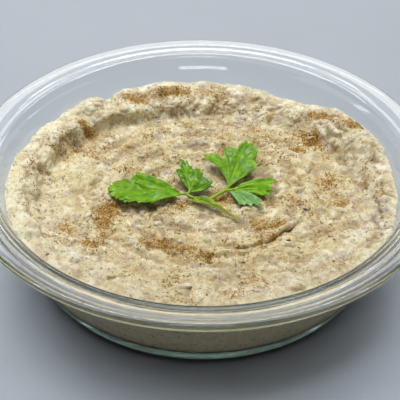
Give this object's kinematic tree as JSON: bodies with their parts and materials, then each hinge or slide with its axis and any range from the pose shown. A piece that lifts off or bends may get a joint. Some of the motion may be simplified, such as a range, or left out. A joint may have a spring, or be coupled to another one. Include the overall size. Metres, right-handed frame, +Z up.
{
  "type": "baba ganoush in a glass dish",
  "caption": "Smoky aubergine dip with a spooned swirl, dusted with spice and topped with parsley sprigs, in a clear round glass dish with a broad rolled rim",
  "frame": {"origin": "middle of the underside of the dish, on the table", "axes": "+Z up; -Y is the side the parsley's stalk points to; the dip's sheer ledge is on the +Y side"},
  "size_m": [0.24, 0.24, 0.058],
  "materials": {
    "glass": "polished",
    "mash": "satin",
    "parsley": "satin"
  },
  "bodies": {
    "root": {"glass_dish": "glass", "baba_ganoush": "mash", "parsley_sprig_left": "parsley", "parsley_sprig_right": "parsley"}
  },
  "joints": []
}
